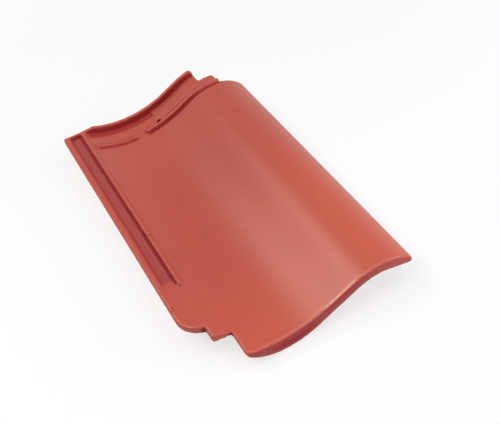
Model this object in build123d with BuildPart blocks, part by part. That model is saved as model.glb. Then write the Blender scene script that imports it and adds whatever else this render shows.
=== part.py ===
from build123d import *

import os
from math import asin, cos, degrees, radians, sin, sqrt, tan

os.makedirs("parts", exist_ok=True)

# Interlocking clay roof tile, pressed and fired as one piece, in millimetres.
# +X runs across the tile from the side lock to the cover edge, +Y runs up the slope from the nose to the
# head, and +Z is up. The origin is on the floor under the middle of the tile, which lies on nose and nibs.

# Overall sizes
tile_length = 345.0
tile_width = 207.0
body_thickness = 12.0
nose_depth = 18.0

# Wave of the upper face: a pan that rises to both sides, a straight flank, and a roll that falls to the
# cover edge. The two lines are shares of the width, and the radii are shares of the run between them.
pan_line_share = 0.35
crest_line_share = 0.833
pan_right_share = 1.18
roll_share = 0.65
flank_angle = 27.7

# Side lock along the left edge
channel_rise = 9.6
edge_thickness = 5.0
outer_rib_width = 5.5
outer_rib_height = 3.0
outer_rib_slope = 2.0
channel_width = 10.0
inner_wall_height = 4.6
inner_wall_slope = 1.8
bead_width = 2.6
bead_height = 2.3
bead_slope = 2.4
lock_round = 1.2
strip_taper_width = 24.0

# Cover edge on the right: a recess for the next tile's outer rib and a lip that hangs into its channel
cover_edge_height = 3.4
cover_round_share = 0.9
cover_lip_width = 4.5
cover_lip_slope = 1.5
recess_width = 18.0
lock_clearance = 0.5

# Head lock: a rib along the head, a groove at its foot and a second rib with a drain gap, lower on the left
head_rib_width = 4.8
head_rib_height = 6.6
head_rib_round = 1.8
head_rib_end_round = 5.0
head_shelf_level = 19.0
head_shelf_width = 35.0
head_groove_width = 9.0
head_groove_depth = 0.9
head_groove_start = 27.0
head_groove_reach = 29.5
second_rib_setback = 37.0
second_rib_height = 3.8
second_rib_low_height = 2.4
second_rib_top = 2.6
second_rib_front = 2.4
second_rib_back = 2.4
second_rib_start = 27.0
second_rib_round = 1.1
drain_gap_offset = 0.5
drain_gap_width = 12.0

# Nail hole between the two ribs
nail_hole_diameter = 4.5
nail_hole_offset = 31.5
nail_hole_setback = 26.5

# Corner cuts: near the nose on the left, near the head on the right
nose_cut_width = 36.0
nose_cut_depth = 27.5
nose_corner_round = 5.0
lock_cut_width = 18.5
lock_cut_depth = 41.0
lock_corner_length = 21.0
head_cut_width = 45.0
head_cut_depth = 18.0
cover_cut_width = 27.0
cover_cut_depth = 34.0
corner_round = 2.5
rebate_length = 53.0

# Foot of the side lock, where the inner wall ends and the channel rises to the level of the pan's edge
wall_end = 94.0
wall_low_end = 90.0
wall_run_out = 6.0
ramp_start = 107.0
ramp_length = 14.0

# Nose lip, with a wave of its own along its lower edge
nose_lip_length = 14.0
nose_edge_round = 2.5
lip_overlap = 1.0
lip_end_thickness = 5.0
lip_pan_offset = 4.5
lip_crest_offset = 2.5
lip_pan_share = 0.65
lip_roll_share = 0.45
lip_angle = 28.5
lip_tip_drop = 2.5

# Hanging nibs
nib_setback = 24.0
nib_length = 18.0
nib_width = 22.0
nib_round = 3.0
pan_nib_offset = 14.5
roll_nib_offset = 6.5

overrun = 20.0


def arc_radius(run, rise):
    """Radius of an arc that starts level and rises so far over so long a run."""
    return (run ** 2 + rise ** 2) / (2 * rise)


# Lines across and along the tile
left_edge = -tile_width / 2
right_edge = tile_width / 2
nose_line = -tile_length / 2
head_line = tile_length / 2
pan_x = left_edge + pan_line_share * tile_width
crest_x = left_edge + crest_line_share * tile_width
wave_run = crest_x - pan_x
channel_start = left_edge + outer_rib_width + outer_rib_slope
channel_end = channel_start + channel_width
bead_start = channel_end + inner_wall_slope
bead_end = bead_start + bead_width
pan_start = bead_end + bead_slope
taper_end = left_edge + strip_taper_width
nose_left = left_edge + nose_cut_width
foot_line = nose_line + lock_cut_depth

# Heights, and the arcs of the wave
pan_z = nose_depth
channel_z = pan_z + channel_rise
rib_z = channel_z + outer_rib_height
bead_z = channel_z + inner_wall_height
flank_turn = radians(flank_angle)
pan_right_radius = pan_right_share * wave_run
roll_radius = roll_share * wave_run
flank_start = pan_x + pan_right_radius * sin(flank_turn)
flank_end = crest_x - roll_radius * sin(flank_turn)
flank_z = pan_z + pan_right_radius * (1 - cos(flank_turn))
crest_z = flank_z + (flank_end - flank_start) * tan(flank_turn) + roll_radius * (1 - cos(flank_turn))
cover_z = channel_z + cover_edge_height
pan_left_radius = arc_radius(pan_x - pan_start, bead_z - bead_height - pan_z)
fall_radius = arc_radius(right_edge - crest_x, crest_z - cover_z)
half_body = body_thickness / 2


def flank_ends(drop):
    """Where the straight flank starts and ends on the face that lies drop below the upper one."""
    return flank_start + drop * sin(flank_turn), flank_end + drop * sin(flank_turn)


def wave_point(x, drop=0.0):
    """Point at x of the upper face, or of the face that lies drop below it."""
    foot, top = flank_ends(drop)
    if x <= pan_x:
        return x, pan_z + pan_left_radius - sqrt((pan_left_radius + drop) ** 2 - (x - pan_x) ** 2)
    if x <= foot:
        return x, pan_z + pan_right_radius - sqrt((pan_right_radius + drop) ** 2 - (x - pan_x) ** 2)
    if x <= top:
        return x, flank_z - drop * cos(flank_turn) + (x - foot) * tan(flank_turn)
    radius = roll_radius if x <= crest_x else fall_radius
    return x, crest_z - radius + sqrt((radius - drop) ** 2 - (x - crest_x) ** 2)


def wave(start, end, drop=0.0):
    """Draw the wave between two lines of the tile, drop below the upper face."""
    foot, top = flank_ends(drop)
    joints = [start] + [x for x in (pan_x, foot, top, crest_x) if start < x < end] + [end]
    for here, there in zip(joints, joints[1:]):
        middle = (here + there) / 2
        if foot < middle < top:
            Line(wave_point(here, drop), wave_point(there, drop))
        else:
            ThreePointArc(wave_point(here, drop), wave_point(middle, drop), wave_point(there, drop))


def band(start, end, upper_drop, lower_drop):
    """Draw the outline between two faces of the wave, from one line of the tile to another."""
    wave(start, end, upper_drop)
    wave(start, end, lower_drop)
    Line(wave_point(start, upper_drop), wave_point(start, lower_drop))
    Line(wave_point(end, upper_drop), wave_point(end, lower_drop))


def plane_at(y):
    """Upright plane across the tile, seen from the nose. What is extruded from it runs to the nose."""
    return Plane.XZ.offset(-y)


# Head rib: level across the side lock, then a fixed height above the wave
head_rib_end = right_edge - head_cut_width
shelf_end = left_edge + head_shelf_width
with BuildPart() as head_rib:
    with BuildSketch(plane_at(head_line)) as rib_face:
        with BuildLine():
            Polyline(
                wave_point(shelf_end, half_body),
                (left_edge, channel_z - edge_thickness / 2),
                (left_edge, rib_z),
                (left_edge + head_shelf_level, rib_z),
                wave_point(shelf_end, -head_rib_height),
            )
            wave(shelf_end, head_rib_end, -head_rib_height)
            Line(wave_point(head_rib_end, -head_rib_height), wave_point(head_rib_end, half_body))
            wave(shelf_end, head_rib_end, half_body)
        make_face()
        rib_tip = wave_point(head_rib_end, -head_rib_height)
        fillet(rib_face.vertices().sort_by_distance(rib_tip)[0], head_rib_end_round)
    extrude(amount=head_rib_width)
    rib_top = head_rib.faces().filter_by(lambda face: face.normal_at().Z > 0)
    fillet(rib_top.edges().filter_by(Axis.Y, reverse=True), head_rib_round)

# Second rib: one length on each side of the drain gap
second_rib_y = head_line - second_rib_setback
drain_gap_start = pan_x + drain_gap_offset
second_rib_spans = [
    (left_edge + second_rib_start, drain_gap_start, second_rib_low_height),
    (drain_gap_start + drain_gap_width, right_edge - cover_cut_width, second_rib_height),
]
with BuildPart() as second_rib:
    for start, end, height in second_rib_spans:
        with BuildLine(plane_at(second_rib_y)) as run:
            wave(start, end)
        with BuildSketch(Plane(run.line @ 0, x_dir=(0, 1, 0), z_dir=run.line % 0)) as rib_profile:
            with BuildLine():
                Polyline(
                    (0, -half_body),
                    (0, 0),
                    (second_rib_front, height),
                    (second_rib_front + second_rib_top, height),
                    (second_rib_front + second_rib_top + second_rib_back, 0),
                    (second_rib_front + second_rib_top + second_rib_back, -half_body),
                    close=True,
                )
            make_face()
            fillet(rib_profile.vertices().group_by(Axis.Z)[-1], second_rib_round)
        sweep(path=run.line)

# Wall cut: what ends the inner wall at the foot of the side lock, with a slanting upper end
foot_z = wave_point(pan_start)[1]
cut_right = pan_start + wall_run_out
with BuildPart() as wall_cut:
    with BuildSketch(Plane.XY.offset(foot_z)):
        with BuildLine():
            Polyline(
                (channel_start, nose_line),
                (cut_right, nose_line),
                (cut_right, nose_line + wall_low_end),
                (channel_end, nose_line + wall_end),
                (channel_start, nose_line + wall_end),
                close=True,
            )
        make_face()
    extrude(amount=overrun)

# Foot fill: a ramp up from the channel, then level to the end of the side lock
fill_left = left_edge + outer_rib_width / 2
ramp_foot = nose_line + ramp_start
with BuildPart() as foot_fill:
    with BuildSketch(Plane.YZ.offset(fill_left)):
        with BuildLine():
            Polyline(
                (nose_line, foot_z),
                (ramp_foot - ramp_length, foot_z),
                (ramp_foot, channel_z),
                (ramp_foot, channel_z - edge_thickness / 2),
                (nose_line, channel_z - edge_thickness / 2),
                close=True,
            )
        make_face()
    extrude(amount=bead_start - fill_left)

# Foot rim: the outer rib carried round the end of the side lock
lock_corner_start = (left_edge, foot_line + lock_corner_length)
lock_corner_end = (left_edge + lock_cut_width, foot_line)
with BuildPart() as foot_rim:
    with BuildLine() as rim_path:
        TangentArc(lock_corner_start, lock_corner_end, tangent=(0, -1))
    with BuildSketch(Plane(rim_path.line @ 0, x_dir=(1, 0, 0), z_dir=rim_path.line % 0)) as rim_profile:
        with BuildLine():
            Polyline(
                (0, channel_z - edge_thickness / 2),
                (0, rib_z),
                (outer_rib_width, rib_z),
                (outer_rib_width + outer_rib_slope, channel_z),
                (outer_rib_width + outer_rib_slope, channel_z - edge_thickness / 2),
                close=True,
            )
        make_face()
        fillet(rim_profile.vertices().group_by(Axis.Y)[-1], lock_round)
    sweep(path=rim_path.line)

# Outline of the tile seen from above, with the stepped corners
with BuildPart() as outline:
    with BuildSketch() as plan:
        with BuildLine():
            TangentArc(lock_corner_start, lock_corner_end, tangent=(0, -1))
            Polyline(
                lock_corner_end,
                (left_edge + lock_cut_width, nose_line + nose_cut_depth),
                (nose_left, nose_line + nose_cut_depth),
                (nose_left, nose_line),
                (right_edge, nose_line),
                (right_edge, head_line - cover_cut_depth),
                (right_edge - cover_cut_width, head_line - cover_cut_depth),
                (right_edge - cover_cut_width, head_line - head_cut_depth),
                (head_rib_end, head_line - head_cut_depth),
                (head_rib_end, head_line),
                (left_edge, head_line),
                lock_corner_start,
            )
        make_face()
        step_tip = (left_edge + lock_cut_width, nose_line + nose_cut_depth)
        fillet(plan.vertices().sort_by_distance(step_tip)[0], corner_round)
        fillet(plan.vertices().sort_by_distance((nose_left, nose_line))[0], nose_corner_round)
    extrude(amount=crest_z + overrun)

# The tile
cover_edge_round = cover_round_share * (cover_edge_height - lock_clearance)
recess_z = rib_z + lock_clearance
cover_lip_z = channel_z + lock_clearance
recess_start = right_edge - recess_width
recess_end = right_edge - cover_lip_width - cover_lip_slope
lip_x = pan_x + lip_pan_offset
lip_turn = radians(lip_angle)
lip_right_radius = lip_pan_share * wave_run
lip_roll_radius = lip_roll_share * wave_run
lip_run = crest_x - lip_crest_offset - lip_x
lip_flank = (lip_run - (lip_right_radius + lip_roll_radius) * sin(lip_turn)) / cos(lip_turn)
lip_left_run = lip_x - nose_left
lip_left_radius = arc_radius(lip_left_run, wave_point(nose_left)[1] - lip_end_thickness)
lip_left_turn = degrees(asin(lip_left_run / lip_left_radius))
nib_y = head_line - nib_setback - nib_length / 2
with BuildPart() as tile:
    # Body: one section along the whole length
    with BuildSketch(plane_at(head_line)) as section:
        with BuildLine():
            FilletPolyline(
                wave_point(taper_end, body_thickness),
                (left_edge, channel_z - edge_thickness),
                (left_edge, rib_z),
                (left_edge + outer_rib_width, rib_z),
                (channel_start, channel_z),
                (channel_end, channel_z),
                (bead_start, bead_z),
                (bead_end, bead_z),
                wave_point(pan_start),
                radius=lock_round,
            )
            wave(pan_start, right_edge)
            Polyline(
                wave_point(right_edge),
                (right_edge, cover_lip_z),
                (right_edge - cover_lip_width, cover_lip_z),
                (recess_end, recess_z),
                wave_point(recess_start, body_thickness),
            )
            wave(taper_end, recess_start, body_thickness)
        make_face()
        fillet(section.vertices().sort_by_distance(wave_point(right_edge))[0], cover_edge_round)
    extrude(amount=tile_length)

    # Nose lip
    with BuildSketch(plane_at(nose_line + nose_lip_length)):
        with BuildLine():
            wave(nose_left, right_edge, lip_overlap)
            left_arc = JernArc((lip_x, 0), (-1, 0), lip_left_radius, -lip_left_turn)
            Line(left_arc @ 1, wave_point(nose_left, lip_overlap))
            pan_arc = JernArc((lip_x, 0), (1, 0), lip_right_radius, lip_angle)
            rise = PolarLine(pan_arc @ 1, lip_flank, lip_angle)
            roll_arc = JernArc(rise @ 1, rise % 1, lip_roll_radius, -lip_angle)
            Polyline(
                roll_arc @ 1, (right_edge, cover_lip_z - lip_tip_drop), wave_point(right_edge, lip_overlap)
            )
        make_face()
    extrude(amount=nose_lip_length)

    # Stepped corner at the nose, thinned from below, and the body trimmed to the lip's lower edge beside it
    with BuildSketch(plane_at(nose_line + rebate_length)):
        with BuildLine():
            left_arc = JernArc((lip_x, 0), (-1, 0), lip_left_radius, -lip_left_turn)
            Polyline(
                left_arc @ 1,
                (left_edge, channel_z - edge_thickness),
                (left_edge, -overrun),
                (lip_x, -overrun),
                (lip_x, 0),
            )
        make_face()
    extrude(amount=rebate_length, mode=Mode.SUBTRACT)

    # Foot of the side lock: the inner wall ends, the channel rises, and the rim closes its end
    add(wall_cut.part, mode=Mode.SUBTRACT)
    add(foot_fill.part)
    add(foot_rim.part)

    # Head lock: clear the side lock's ribs at the head, then add the ribs and cut the groove
    with BuildSketch(plane_at(head_line)):
        with Locations((left_edge, channel_z)):
            Rectangle(head_shelf_width, overrun, align=(Align.MIN, Align.MIN))
    extrude(amount=head_rib_width, mode=Mode.SUBTRACT)
    add(head_rib.part)
    add(second_rib.part)
    with BuildSketch(plane_at(head_line - head_rib_width)):
        with BuildLine():
            groove_ends = (left_edge + head_groove_start, pan_x + head_groove_reach)
            band(*groove_ends, -head_rib_height, head_groove_depth)
        make_face()
    extrude(amount=head_groove_width, mode=Mode.SUBTRACT)

    # Nibs: flat tips on the floor, tops inside the body
    for nib_x in (pan_x - pan_nib_offset, crest_x - roll_nib_offset):
        with BuildSketch():
            with Locations((nib_x, nib_y)):
                RectangleRounded(nib_width, nib_length, nib_round)
        extrude(amount=wave_point(nib_x, half_body)[1])

    add(outline.part, mode=Mode.INTERSECT)

    # Nail hole
    with Locations((pan_x + nail_hole_offset, head_line - nail_hole_setback, crest_z)):
        Hole(nail_hole_diameter / 2)

    # Rounded upper edge of the nose
    nose_edges = [
        edge
        for edge in tile.edges().filter_by_position(Axis.Y, nose_line, nose_line, inclusive=(True, True))
        if abs(edge.center().Z - wave_point(edge.center().X)[1]) < nose_edge_round / 2
    ]
    fillet(nose_edges, nose_edge_round)

tile.part.label = "roof_tile"
export_step(tile.part, "parts/roof_tile.step")
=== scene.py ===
"""An interlocking clay roof tile with a satin red slip, on a pale studio floor.

Lengths are in metres and lamp powers in watts.
"""

import logging
from dataclasses import dataclass
from enum import Enum
from typing import Any, NamedTuple

import bmesh
import bpy
from mathutils import Matrix, Vector
from mathutils.bvhtree import BVHTree


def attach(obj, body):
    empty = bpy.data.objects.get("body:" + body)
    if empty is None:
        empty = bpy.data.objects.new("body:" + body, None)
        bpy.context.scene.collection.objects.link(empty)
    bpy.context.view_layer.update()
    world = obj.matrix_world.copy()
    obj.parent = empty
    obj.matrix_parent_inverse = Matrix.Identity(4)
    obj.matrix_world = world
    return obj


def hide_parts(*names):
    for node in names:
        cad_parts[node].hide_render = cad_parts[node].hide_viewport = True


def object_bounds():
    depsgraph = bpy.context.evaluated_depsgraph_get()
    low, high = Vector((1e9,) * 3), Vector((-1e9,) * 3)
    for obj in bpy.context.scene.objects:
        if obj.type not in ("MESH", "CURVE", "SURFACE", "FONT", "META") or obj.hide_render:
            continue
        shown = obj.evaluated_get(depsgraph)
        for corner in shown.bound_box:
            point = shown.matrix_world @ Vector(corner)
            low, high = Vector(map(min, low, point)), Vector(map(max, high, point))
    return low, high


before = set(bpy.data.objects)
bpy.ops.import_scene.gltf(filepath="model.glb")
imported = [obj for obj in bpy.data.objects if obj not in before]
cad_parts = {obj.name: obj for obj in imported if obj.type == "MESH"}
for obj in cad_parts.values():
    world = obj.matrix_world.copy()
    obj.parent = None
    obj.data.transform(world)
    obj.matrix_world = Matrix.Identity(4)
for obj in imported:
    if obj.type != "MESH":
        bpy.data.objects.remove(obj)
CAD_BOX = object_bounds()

Colour = tuple[float, float, float]
Point = tuple[float, float, float]

LOG = logging.getLogger("roof_tile")
NOSE_LINE = CAD_BOX[0][1]
MERGE_REACH = 1e-6
MILLIMETRES = 1000.0
NOISE_MEAN = 0.5
OPAQUE = 1.0
DOWN: Point = (0.0, 0.0, -1.0)
WHITE: Colour = (1.0, 1.0, 1.0)
DEEP_RED: Colour = (0.330, 0.030, 0.027)
DARK_RED: Colour = (0.260, 0.007, 0.008)

# The Mix node's sockets for colours, by number, because its other sockets have the same names.
MIX_SHARE, MIX_FIRST, MIX_SECOND, MIX_RESULT = 0, 6, 7, 2


class Mark(Enum):
    """Names of the values that the tile's mesh carries for its finish."""

    EDGE = "edge_turn"
    HOLLOW = "hollow_depth"
    STEEP = "steep_face"
    # These two mark the faces on which the finish paints shade.
    LEE = "lee_side"
    FRONT = "front_foot"
    UNDER = "under_face"


class Ray(Enum):
    """Light Path's names of the rays that show a surface."""

    CAMERA = "Is Camera Ray"
    MIRRORED = "Is Glossy Ray"
    THROUGH = "Is Transmission Ray"


class Socket(Enum):
    """Kinds of sockets on a tree's own interface."""

    SHAPE = "NodeSocketGeometry"
    NUMBER = "NodeSocketFloat"
    COUNT = "NodeSocketInt"
    FINISH = "NodeSocketMaterial"


class Band(NamedTuple):
    """A range of values over which a mask rises from 0 to 1."""

    low: float
    high: float


class Pattern(NamedTuple):
    """A seeded noise: the size of its patches in metres, its seed and its finer layers."""

    size: float
    seed: float
    detail: float


class Layer(NamedTuple):
    """A colour that lies over others, and how much of it shows where its mask is full."""

    colour: Colour
    share: float


class Wire:
    """A node's output socket, which takes part in sums as a number does."""

    def __init__(self, bench: "Bench", socket: bpy.types.NodeSocket) -> None:
        """Keep the socket and the bench that it belongs to."""
        self.bench = bench
        self.socket = socket

    def _sum(self, operation: str, first: Any, second: Any) -> "Wire":
        """Return the result of a new Math node."""
        return self.bench.node("ShaderNodeMath", {"operation": operation}, {0: first, 1: second})

    def __add__(self, other: Any) -> "Wire":
        """Return this plus the other."""
        return self._sum("ADD", self, other)

    def __radd__(self, other: Any) -> "Wire":
        """Return the other plus this."""
        return self._sum("ADD", other, self)

    def __sub__(self, other: Any) -> "Wire":
        """Return this less the other."""
        return self._sum("SUBTRACT", self, other)

    def __rsub__(self, other: Any) -> "Wire":
        """Return the other less this."""
        return self._sum("SUBTRACT", other, self)

    def __mul__(self, other: Any) -> "Wire":
        """Return this times the other."""
        return self._sum("MULTIPLY", self, other)

    def __rmul__(self, other: Any) -> "Wire":
        """Return the other times this."""
        return self._sum("MULTIPLY", other, self)

    def __truediv__(self, other: Any) -> "Wire":
        """Return this over the other."""
        return self._sum("DIVIDE", self, other)

    def __rtruediv__(self, other: Any) -> "Wire":
        """Return the other over this."""
        return self._sum("DIVIDE", other, self)


class Bench:
    """Makes the nodes of one tree."""

    def __init__(self, tree: bpy.types.NodeTree) -> None:
        """Start on an empty tree."""
        self.tree = tree
        tree.nodes.clear()

    def node(self, kind: str, settings: dict[str, Any] | None = None,
             values: dict[int | str, Any] | None = None, out: int | str = 0) -> Wire | None:
        """Add one node, set it up and feed its sockets.

        Args:
            kind: The node's type.
            settings: Its properties, set first.
            values: Numbers, colours or wires for its input sockets, by name or number.
            out: The output socket to return, by name or number.

        Returns:
            A wire from that output, or None where the node has no outputs.
        """
        made = self.tree.nodes.new(kind)
        for name, value in (settings or {}).items():
            setattr(made, name, value)
        for key, value in (values or {}).items():
            if isinstance(value, Wire):
                self.tree.links.new(value.socket, made.inputs[key])
            else:
                made.inputs[key].default_value = value
        return Wire(self, made.outputs[out]) if made.outputs else None

    def blend(self, share: Any, first: Any, second: Any) -> Wire:
        """Mix two colours.

        Args:
            share: How much of the second colour, from 0 to 1.
            first: A colour or a wire.
            second: A colour or a wire.

        Returns:
            The mixed colour.
        """
        first, second = (c if isinstance(c, Wire) else (*c, OPAQUE) for c in (first, second))
        return self.node("ShaderNodeMix", {"data_type": "RGBA"},
                         {MIX_SHARE: share, MIX_FIRST: first, MIX_SECOND: second}, out=MIX_RESULT)

    def over(self, tone: Wire, layer: Layer, mask: Wire) -> Wire:
        """Return a tone with a layer over it where its mask is."""
        return self.blend(mask * layer.share, tone, layer.colour)

    def between(self, value: Wire, band: Band) -> Wire:
        """Return a value mapped smoothly from a band to the range from 0 to 1."""
        return self.node("ShaderNodeMapRange", {"interpolation_type": "SMOOTHSTEP"},
                         {"Value": value, "From Min": band.low, "From Max": band.high})

    def noise(self, place: Wire, size: Any, seed: Any, detail: float) -> Wire:
        """Add a seeded noise.

        Args:
            place: Where it is read.
            size: How large its patches are, in metres.
            seed: Which of its patterns.
            detail: How many finer layers it has.

        Returns:
            The noise, around its mean.
        """
        scale = 1.0 / size
        return self.node("ShaderNodeTexNoise", {"noise_dimensions": "4D"},
                         {"Vector": place, "W": seed, "Scale": scale, "Detail": detail})

    def part(self, vector: Wire, axis: str) -> Wire:
        """Return one coordinate of a vector."""
        return self.node("ShaderNodeSeparateXYZ", None, {0: vector}, out=axis)

    def dot(self, first: Wire, second: Any) -> Wire:
        """Return the dot product of two vectors."""
        return self.node("ShaderNodeVectorMath", {"operation": "DOT_PRODUCT"},
                         {0: first, 1: second}, out="Value")

    def scaled(self, vector: Wire, share: Wire) -> Wire:
        """Return a vector times a number."""
        return self.node("ShaderNodeVectorMath", {"operation": "SCALE"}, {0: vector, "Scale": share})

    def seen(self) -> Wire:
        """Find the rays that show a surface: the camera's own, mirrored ones and those through glass.

        Returns:
            1 for such a ray, and 0 for any other.
        """
        path = self.node("ShaderNodeLightPath").socket.node.outputs
        camera, mirrored, through = (Wire(self, path[ray.value]) for ray in Ray)
        return self.node("ShaderNodeMath", {"operation": "ADD", "use_clamp": True},
                         {0: camera + mirrored, 1: through})


@dataclass(frozen=True)
class SlipMasks:
    """Where each layer of the slip, of the painted shade and of the painted light lies, as wires of one
    tree.
    """

    cloud: Wire
    mottle: Wire
    speck: Wire
    flash_and_light_pool: Wire
    hollow_shade: Wire
    steep: Wire
    wall_shade: Wire
    crease: Wire
    lee_crease_shade: Wire
    foot: Wire
    worn: Wire
    nose_shade: Wire
    under: Wire
    glaze: Wire
    height: Wire


@dataclass(frozen=True)
class SlipRoughness:
    """How rough the slip is, and how much each place adds."""

    base: float = 0.33
    mottle: float = 0.10
    under: float = 0.35
    crease: float = 0.40
    steep: float = 0.20
    foot: float = 0.35
    coat: float = 0.12


@dataclass(frozen=True)
class FiredClay:
    """Satin red slip, fired on: warm on the open faces and paler on the edges, with painted shade in the
    hollows, on steep faces, inner walls, creases, rib feet and the nose face, and a partly painted pool of
    light towards the right and the nose.

    The layers are in the order in which they lie. The bands say where each one fades in, in the units of
    the mark or the coordinate that it reads.
    """

    warm: Colour = (0.470, 0.064, 0.034)
    dull: Colour = (0.430, 0.056, 0.036)
    # Lighter and more orange towards the right side and the nose: partly the clay's own flashing, partly a
    # painted pool of light.
    flash_and_painted_light: Layer = Layer((0.540, 0.090, 0.050), 1.0)
    # Painted shade in the hollows.
    hollow_shade: Layer = Layer(DEEP_RED, 0.90)
    # Painted shade on the steep faces, the nose face among them.
    steep_shade: Layer = Layer(DEEP_RED, 0.20)
    # Painted shade on the inner walls that face left, towards the side lock.
    wall_shade: Layer = Layer((0.220, 0.005, 0.006), 0.92)
    # Painted shade in the creases on the side towards the side lock and the nose.
    crease: Layer = Layer(DARK_RED, 1.0)
    # Painted shade on the fronts of the ribs and at their feet.
    foot: Layer = Layer(DARK_RED, 0.55)
    worn: Layer = Layer((0.540, 0.095, 0.056), 0.10)
    # Painted shade on the nose face, fading towards its right end.
    nose_shade: Layer = Layer((0.290, 0.006, 0.008), 1.0)
    speck: Layer = Layer(DEEP_RED, 0.16)
    bare: Layer = Layer((0.460, 0.115, 0.062), 0.85)
    roughness: SlipRoughness = SlipRoughness()
    refraction: float = 1.50

    clouds: Pattern = Pattern(0.110, 3.0, 3.0)
    mottles: Pattern = Pattern(0.012, 4.0, 4.0)
    grains: Pattern = Pattern(0.0011, 5.0, 3.0)
    specks: Pattern = Pattern(0.0034, 6.0, 2.0)
    cloud_share: float = 0.75
    mottle_share: float = 2.0
    mottle_wear: float = 0.25
    mottle_height: float = 0.65
    grain_height: float = 0.35
    bump_strength: float = 0.15
    bump_depth: float = 0.0004

    cloud_band: Band = Band(0.34, 0.66)
    speck_band: Band = Band(0.66, 0.78)
    worn_band: Band = Band(0.16, 0.60)
    hollow_band: Band = Band(0.45, 1.30)
    inner_band: Band = Band(-1.90, -0.90)
    crease_band: Band = Band(0.02, 0.40)
    lee_band: Band = Band(0.0, 0.20)
    wall_band: Band = Band(0.50, 0.74)
    foot_band: Band = Band(0.10, 0.40)
    rib_end_band: Band = Band(0.030, 0.056)
    rib_end_fade: float = 0.70
    flash_band: Band = Band(-0.030, 0.190)
    flash_slant: float = 0.90
    nose_band: Band = Band(-0.0030, -0.0008)
    nose_share: float = 0.90
    nose_end_band: Band = Band(0.030, 0.090)
    nose_end_fade: float = 0.35
    glaze_band: Band = Band(-0.006, -0.001)
    flank_start_band: Band = Band(-0.030, 0.005)
    flank_end_band: Band = Band(0.035, 0.060)

    def material(self) -> bpy.types.Material:
        """Build the finish from Object coordinates and the mesh's own marks.

        Returns:
            The material.
        """
        made, bench = new_material("fired_clay_slip")
        masks = self._masks(bench)
        relief = bench.node("ShaderNodeBump", None, {
            "Strength": self.bump_strength, "Distance": self.bump_depth, "Height": masks.height})
        shader = bench.node("ShaderNodeBsdfPrincipled", None, {
            "Base Color": self._tone(bench, masks), "Roughness": self._gloss(masks), "Normal": relief,
            "IOR": self.refraction, "Coat Weight": masks.glaze, "Coat Roughness": self.roughness.coat})
        bench.node("ShaderNodeOutputMaterial", None, {"Surface": shader})
        return made

    def _masks(self, bench: Bench) -> SlipMasks:
        """Find where each layer lies.

        Args:
            bench: The material's bench.

        Returns:
            The masks.
        """
        place = bench.node("ShaderNodeTexCoord", out="Object")
        across, along = bench.part(place, "X"), bench.part(place, "Y")
        past_nose = NOSE_LINE - along
        marks = {mark: bench.node("ShaderNodeAttribute", {"attribute_name": mark.value}, out="Fac")
                 for mark in Mark}
        turn, depth = marks[Mark.EDGE], marks[Mark.HOLLOW]
        steep, lee = marks[Mark.STEEP], marks[Mark.LEE]
        spread = bench.noise(place, *self.mottles)
        mottle = spread - NOISE_MEAN
        inner = bench.between(depth, self.inner_band)
        crease = bench.between(0.0 - turn, self.crease_band)
        # The fronts and feet of the ribs, where shade is painted and the slip is rougher.
        foot = bench.between(marks[Mark.FRONT], self.foot_band) * inner
        rib_end = bench.between(across, self.rib_end_band)
        nose_shade = bench.between(past_nose, self.nose_band) * steep
        nose_end = bench.between(across, self.nose_end_band)
        flank_end = bench.between(across, self.flank_end_band)
        flank = bench.between(across, self.flank_start_band) * (1.0 - flank_end)
        # Several of these masks place painted shade (hollows, steep faces, inner walls, creases, rib feet,
        # nose face), and one a partly painted pool of light towards the right and the nose.
        return SlipMasks(
            cloud=bench.between(bench.noise(place, *self.clouds), self.cloud_band),
            mottle=mottle,
            speck=bench.between(bench.noise(place, *self.specks), self.speck_band),
            # Partly the clay's flashing, partly a painted pool of light towards the right and the nose.
            flash_and_light_pool=bench.between(across - along * self.flash_slant, self.flash_band),
            hollow_shade=bench.between(depth, self.hollow_band),
            steep=steep,
            wall_shade=steep * inner * bench.between(lee, self.wall_band),
            crease=crease,
            lee_crease_shade=crease * bench.between(lee, self.lee_band),
            foot=foot * (1.0 - rib_end * self.rib_end_fade),
            worn=bench.between(turn + mottle * self.mottle_wear, self.worn_band),
            nose_shade=nose_shade * (self.nose_share - nose_end * self.nose_end_fade),
            under=marks[Mark.UNDER],
            glaze=bench.between(past_nose, self.glaze_band) * flank * (1.0 - steep),
            height=bench.noise(place, *self.grains) * self.grain_height + spread * self.mottle_height,
        )

    def _tone(self, bench: Bench, masks: SlipMasks) -> Wire:
        """Lay the colours over each other.

        Args:
            bench: The material's bench.
            masks: Where each layer lies.

        Returns:
            The slip's colour, with its painted shade and light.
        """
        dullness = masks.cloud * self.cloud_share + masks.mottle * self.mottle_share
        tone = bench.blend(dullness, self.warm, self.dull)
        # Besides the slip's own tones, these layers paint shade in the hollows, on steep faces, inner walls,
        # creases, rib feet and the nose face, and partly a pool of light towards the right and the nose.
        for layer, mask in (
            (self.flash_and_painted_light, masks.flash_and_light_pool),
            (self.hollow_shade, masks.hollow_shade),
            (self.steep_shade, masks.steep),
            (self.wall_shade, masks.wall_shade),
            (self.crease, masks.lee_crease_shade),
            (self.foot, masks.foot),
            (self.worn, masks.worn),
            (self.nose_shade, masks.nose_shade),
            (self.speck, masks.speck),
            (self.bare, masks.under),
        ):
            tone = bench.over(tone, layer, mask)
        return tone

    def _gloss(self, masks: SlipMasks) -> Wire:
        """Return the slip's roughness from what each place adds."""
        rough = self.roughness
        return (rough.base + masks.mottle * rough.mottle + masks.under * rough.under
                + masks.crease * rough.crease + masks.steep * rough.steep + masks.foot * rough.foot)


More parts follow.
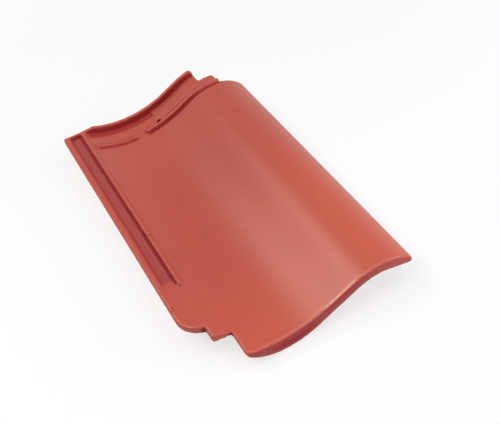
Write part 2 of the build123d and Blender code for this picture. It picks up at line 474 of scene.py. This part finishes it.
@dataclass(frozen=True)
class PaleFloor:
    """Plain white studio floor that keeps the tile's shadow and turns plain white away from it."""

    colour: Colour = (0.96, 0.96, 0.96)
    roughness: float = 0.9
    specular: float = 0.1
    lift: float = 0.7
    shadow_band: Band = Band(0.30, 0.90)

    def material(self) -> bpy.types.Material:
        """Build the floor's finish.

        Returns:
            The material.
        """
        made, bench = new_material("pale_floor")
        shader = bench.node("ShaderNodeBsdfPrincipled", None, {
            "Base Color": (*self.colour, OPAQUE), "Roughness": self.roughness,
            "Specular IOR Level": self.specular})
        glow = bench.node("ShaderNodeEmission", None, {"Color": (*WHITE, OPAQUE), "Strength": 1.0})
        place = bench.node("ShaderNodeTexCoord", out="Object")
        reach = bench.node("ShaderNodeVectorMath", {"operation": "LENGTH"}, {0: place}, out="Value")
        white = self.lift + bench.between(reach, self.shadow_band) * (1.0 - self.lift)
        floor = bench.node("ShaderNodeMixShader", None, {0: bench.seen() * white, 1: shader, 2: glow})
        bench.node("ShaderNodeOutputMaterial", None, {"Surface": floor})
        return made


@dataclass(frozen=True)
class ClaySkin:
    """The tile's skin: softened edges, a slightly uneven face, and the marks that the finish reads."""

    relief_depth: float = 0.00022
    relief_size: float = 0.040
    relief_seed: int = 7
    grain_depth: float = 0.00006
    grain_size: float = 0.006
    grain_seed: int = 12
    detail: float = 2.0
    soften: float = 0.55
    edge_steps: int = 4
    hollow_steps: int = 60
    foot_steps: int = 6
    # Faces that look this way, towards the side lock and the nose, get painted shade in the finish.
    lee_side: Point = (-0.8, -0.6, 0.0)
    steep_band: Band = Band(-0.88, -0.52)
    under_band: Band = Band(0.25, 0.60)

    def lay(self, piece: bpy.types.Object, finish: bpy.types.Material) -> None:
        """Lay the skin on a piece and turn the result into its plain mesh.

        Args:
            piece: The tile, whose mesh is replaced.
            finish: The material of the skin.
        """
        inputs = {
            "Relief Depth": (Socket.NUMBER, self.relief_depth),
            "Relief Size": (Socket.NUMBER, self.relief_size),
            "Relief Seed": (Socket.COUNT, self.relief_seed),
            "Grain Depth": (Socket.NUMBER, self.grain_depth),
            "Grain Size": (Socket.NUMBER, self.grain_size),
            "Grain Seed": (Socket.COUNT, self.grain_seed),
            "Soften": (Socket.NUMBER, self.soften),
            "Edge Steps": (Socket.COUNT, self.edge_steps),
            "Hollow Steps": (Socket.COUNT, self.hollow_steps),
            "Foot Steps": (Socket.COUNT, self.foot_steps),
            "Finish": (Socket.FINISH, finish),
        }
        tree = bpy.data.node_groups.new("clay_skin", "GeometryNodeTree")
        face = tree.interface
        face.new_socket("Geometry", in_out="INPUT", socket_type=Socket.SHAPE.value)
        sockets = {name: face.new_socket(name, in_out="INPUT", socket_type=kind.value)
                   for name, (kind, _) in inputs.items()}
        face.new_socket("Geometry", in_out="OUTPUT", socket_type=Socket.SHAPE.value)
        self._grow(Bench(tree), list(inputs))
        skin = piece.modifiers.new("clay_skin", "NODES")
        skin.node_group = tree
        for name, (_, value) in inputs.items():
            skin[sockets[name].identifier] = value
        even = piece.data
        mesh = plain_mesh(piece)
        piece.modifiers.remove(skin)
        piece.data = mesh
        bpy.data.meshes.remove(even)

    def _grow(self, bench: Bench, names: list[str]) -> None:
        """Build the tree: the marks, then the moves, then the finish.

        Args:
            bench: The tree's bench.
            names: The names of the tree's inputs.
        """
        shape = bench.node("NodeGroupInput", out="Geometry")
        given = {name: Wire(bench, shape.socket.node.outputs[name]) for name in names}
        place = bench.node("GeometryNodeInputPosition")
        normal = bench.node("GeometryNodeInputNormal")
        lift, turn = self._rise(bench, place, normal, given["Edge Steps"])
        _, rise = self._rise(bench, place, normal, given["Hollow Steps"])
        for mark, value in self._marks(bench, normal, turn, rise, given["Foot Steps"]).items():
            shape = bench.node("GeometryNodeStoreNamedAttribute", {"data_type": "FLOAT", "domain": "POINT"},
                               {"Geometry": shape, "Name": mark.value, "Value": value})
        relief = bench.noise(place, given["Relief Size"], given["Relief Seed"], self.detail)
        grain = bench.noise(place, given["Grain Size"], given["Grain Seed"], self.detail)
        uneven = relief * given["Relief Depth"] + grain * given["Grain Depth"]
        sink = bench.scaled(normal, 0.0 - uneven)
        slump = bench.scaled(lift, 0.0 - given["Soften"])
        move = bench.node("ShaderNodeVectorMath", {"operation": "ADD"}, {0: sink, 1: slump})
        shape = bench.node("GeometryNodeSetPosition", None, {"Geometry": shape, "Offset": move})
        shape = bench.node("GeometryNodeSetShadeSmooth", None, {"Geometry": shape})
        shape = bench.node("GeometryNodeRealizeInstances", None, {"Geometry": shape})
        shape = bench.node("GeometryNodeSetMaterial", None, {"Geometry": shape, "Material": given["Finish"]})
        bench.node("NodeGroupOutput", None, {"Geometry": shape})

    @staticmethod
    def _rise(bench: Bench, place: Wire, normal: Wire, steps: Wire) -> tuple[Wire, Wire]:
        """Compare each point with the mean of its neighbourhood.

        Args:
            bench: The tree's bench.
            place: The points' places.
            normal: Their normals.
            steps: How far the neighbourhood reaches, in rounds of blurring.

        Returns:
            The way from the mean to the point, and its length along the normal.
        """
        mean = bench.node("GeometryNodeBlurAttribute", {"data_type": "FLOAT_VECTOR"},
                          {"Value": place, "Iterations": steps})
        lift = bench.node("ShaderNodeVectorMath", {"operation": "SUBTRACT"}, {0: place, 1: mean})
        return lift, bench.dot(lift, normal)

    def _marks(self, bench: Bench, normal: Wire, turn: Wire, rise: Wire, steps: Wire) -> dict[Mark, Wire]:
        """Work out the values that the finish reads.

        Args:
            bench: The tree's bench.
            normal: The points' normals.
            turn: How far each point stands out from its near surroundings.
            rise: How far it stands out from its wide surroundings.
            steps: How far the foot of a rib reaches, in rounds of blurring.

        Returns:
            The value of each mark, with lengths in millimetres.
        """
        downward = 0.0 - bench.part(normal, "Z")
        forward = 0.0 - bench.part(normal, "Y")
        foot = bench.node("GeometryNodeBlurAttribute", {"data_type": "FLOAT"},
                          {"Value": forward, "Iterations": steps})
        return {
            Mark.EDGE: turn * MILLIMETRES,
            Mark.HOLLOW: rise * -MILLIMETRES,
            Mark.STEEP: bench.between(downward, self.steep_band),
            Mark.LEE: bench.dot(normal, self.lee_side),
            Mark.FRONT: foot,
            Mark.UNDER: bench.between(downward, self.under_band),
        }


@dataclass(frozen=True)
class Nick:
    """A small chip in the clay."""

    place: Point
    radius: float
    depth: float

    def press(self, mesh: bpy.types.Mesh) -> None:
        """Press the chip into a mesh.

        Args:
            mesh: The even mesh, changed in place.
        """
        centre = Vector(self.place)
        for vertex in mesh.vertices:
            reach = (vertex.co - centre).length / self.radius
            if reach < 1.0:
                vertex.co -= vertex.normal * self.depth * (1.0 - reach * reach)


@dataclass(frozen=True)
class PressedTile:
    """The whole tile: the pressed shape in small even faces, with its skin and its chips."""

    node: str = "roof_tile"
    cell: float = 0.00145
    skin: ClaySkin = ClaySkin()
    nicks: tuple[Nick, ...] = (
        Nick((-0.1000, 0.0075, 0.0305), 0.0035, 0.0011),
        Nick((-0.1008, -0.0995, 0.0305), 0.0040, 0.0013),
    )

    def build(self, finish: bpy.types.Material) -> bpy.types.Object:
        """Make the tile's visible piece.

        Args:
            finish: The material of its skin.

        Returns:
            The finished object, ready to ride on its body.
        """
        solid = self._merged_solid()
        piece = bpy.data.objects.new("tile_body", self._even_mesh(solid))
        bpy.context.scene.collection.objects.link(piece)
        self._settle(piece.data, solid)
        solid.free()
        for nick in self.nicks:
            nick.press(piece.data)
        self.skin.lay(piece, finish)
        return piece

    def _merged_solid(self) -> bmesh.types.BMesh:
        """Copy the solid's mesh and join its triangles.

        Returns:
            The merged copy.
        """
        solid = bmesh.new()
        solid.from_mesh(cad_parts[self.node].data)
        bmesh.ops.remove_doubles(solid, verts=solid.verts, dist=MERGE_REACH)
        return solid

    def _even_mesh(self, solid: bmesh.types.BMesh) -> bpy.types.Mesh:
        """Cover the solid with small even faces.

        Args:
            solid: The merged solid.

        Returns:
            A mesh of about one face per cell.
        """
        rough = bpy.data.meshes.new("tile_solid")
        solid.to_mesh(rough)
        holder = bpy.data.objects.new("tile_solid", rough)
        bpy.context.scene.collection.objects.link(holder)
        remesh = holder.modifiers.new("cells", "REMESH")
        remesh.mode = "VOXEL"
        remesh.voxel_size = self.cell
        mesh = plain_mesh(holder)
        bpy.data.objects.remove(holder)
        bpy.data.meshes.remove(rough)
        return mesh

    @staticmethod
    def _settle(mesh: bpy.types.Mesh, solid: bmesh.types.BMesh) -> None:
        """Move each point onto the solid's own surface.

        Args:
            mesh: The even mesh, changed in place.
            solid: The merged solid.
        """
        surface = BVHTree.FromBMesh(solid)
        for vertex in mesh.vertices:
            vertex.co = surface.find_nearest(vertex.co)[0]

    def dress(self, piece: bpy.types.Object) -> None:
        """Put the piece on its body, in the CAD node's place, and hide the CAD node.

        Args:
            piece: The finished tile.
        """
        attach(piece, "root")
        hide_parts(self.node)


@dataclass(frozen=True)
class SoftBox:
    """An oblong soft lamp that looks at a point, or straight down where it has none."""

    name: str
    place: Point
    width: float
    height: float
    power: float
    target: Point | None = None
    tint: Colour = WHITE

    def hang(self) -> None:
        """Make the lamp and turn it to its target."""
        lamp = bpy.data.lights.new(self.name, "AREA")
        lamp.shape = "RECTANGLE"
        lamp.size = self.width
        lamp.size_y = self.height
        lamp.energy = self.power
        lamp.color = self.tint
        hung = bpy.data.objects.new(self.name, lamp)
        hung.location = self.place
        look = Vector(self.target) - Vector(self.place) if self.target else Vector(DOWN)
        hung.rotation_euler = look.to_track_quat("-Z", "Y").to_euler()
        hung.visible_camera = False
        bpy.context.scene.collection.objects.link(hung)


@dataclass(frozen=True)
class Studio:
    """Floor, light and camera."""

    floor_reach: float = 6.0
    camera_place: Point = (-0.17437, -0.46507, 0.53665)
    camera_right: Point = (0.85962, -0.50206, -0.09480)
    camera_up: Point = (0.42831, 0.60693, 0.66947)
    clip_start: float = 0.01
    sensor: float = 36.0
    lens: float = 51.45
    shift: tuple[float, float] = (-0.0099, -0.0034)
    sky: float = 0.14
    lamps: tuple[SoftBox, ...] = (
        SoftBox("back_left_panel", (-0.85, 0.71, 1.50), 1.30, 1.02, 15.0, tint=(1.0, 0.96, 0.90)),
        SoftBox("left_panel", (-0.60, -0.17, 1.00), 0.40, 0.40, 3.8),
        SoftBox("overhead_panel", (0.40, -0.25, 1.20), 1.20, 0.60, 4.9),
        SoftBox("front_panel", (0.45, -1.00, 0.30), 1.20, 0.50, 2.7, target=(0.03, -0.12, 0.03)),
        SoftBox("right_panel", (0.97, -0.45, 0.36), 0.80, 0.40, 4.0, target=(0.07, -0.10, 0.045)),
    )

    def build(self, finish: bpy.types.Material) -> None:
        """Lay the floor, hang the lamps, set the sky and place the camera.

        Args:
            finish: The floor's material.
        """
        self._floor(finish)
        for lamp in self.lamps:
            lamp.hang()
        self._sky()
        self._camera()
        bpy.context.scene.view_settings.view_transform = "Standard"

    def _floor(self, finish: bpy.types.Material) -> None:
        """Lay a plain floor under the tile.

        Args:
            finish: The floor's material.
        """
        reach = self.floor_reach
        corners = [(x * reach, y * reach, 0.0) for x, y in ((-1, -1), (1, -1), (1, 1), (-1, 1))]
        mesh = bpy.data.meshes.new("floor")
        mesh.from_pydata(corners, [], [range(len(corners))])
        mesh.materials.append(finish)
        floor = bpy.data.objects.new("floor", mesh)
        bpy.context.scene.collection.objects.link(floor)

    def _sky(self) -> None:
        """Light the scene evenly from all round, and show plain white where the sky itself is seen."""
        world = bpy.data.worlds.new("studio_sky")
        world.use_nodes = True
        bench = Bench(world.node_tree)
        strength = self.sky + bench.seen() * (1.0 - self.sky)
        light = bench.node("ShaderNodeBackground", None, {"Color": (*WHITE, OPAQUE), "Strength": strength})
        bench.node("ShaderNodeOutputWorld", None, {"Surface": light})
        bpy.context.scene.world = world

    def _camera(self) -> None:
        """Place the camera at the photograph's viewing angle."""
        eye = bpy.data.cameras.new("eye")
        eye.sensor_width = self.sensor
        eye.lens = self.lens
        eye.shift_x, eye.shift_y = self.shift
        eye.clip_start = self.clip_start
        camera = bpy.data.objects.new("eye", eye)
        right, up = Vector(self.camera_right), Vector(self.camera_up)
        turn = Matrix((right, up, right.cross(up))).transposed()
        camera.matrix_world = Matrix.Translation(self.camera_place) @ turn.to_4x4()
        bpy.context.scene.collection.objects.link(camera)
        bpy.context.scene.camera = camera


def new_material(name: str) -> tuple[bpy.types.Material, Bench]:
    """Start a material with an empty tree.

    Args:
        name: The material's name.

    Returns:
        The material and the bench of its tree.
    """
    made = bpy.data.materials.new(name)
    made.use_nodes = True
    return made, Bench(made.node_tree)


def plain_mesh(piece: bpy.types.Object) -> bpy.types.Mesh:
    """Turn an object with live modifiers into a mesh.

    Args:
        piece: The object.

    Returns:
        A new mesh with the modifiers' result.
    """
    graph = bpy.context.evaluated_depsgraph_get()
    shown = piece.evaluated_get(graph)
    return bpy.data.meshes.new_from_object(shown, preserve_all_data_layers=True, depsgraph=graph)


def main() -> None:
    """Build the studio and the tile, and report each."""
    logging.basicConfig(level=logging.INFO, format="%(name)s: %(message)s")
    studio = Studio()
    studio.build(PaleFloor().material())
    LOG.info("studio: a floor and %d lamps", len(studio.lamps))
    tile = PressedTile()
    piece = tile.build(FiredClay().material())
    tile.dress(piece)
    LOG.info("%s: %d faces", piece.name, len(piece.data.polygons))


if __name__ == "__main__":
    main()
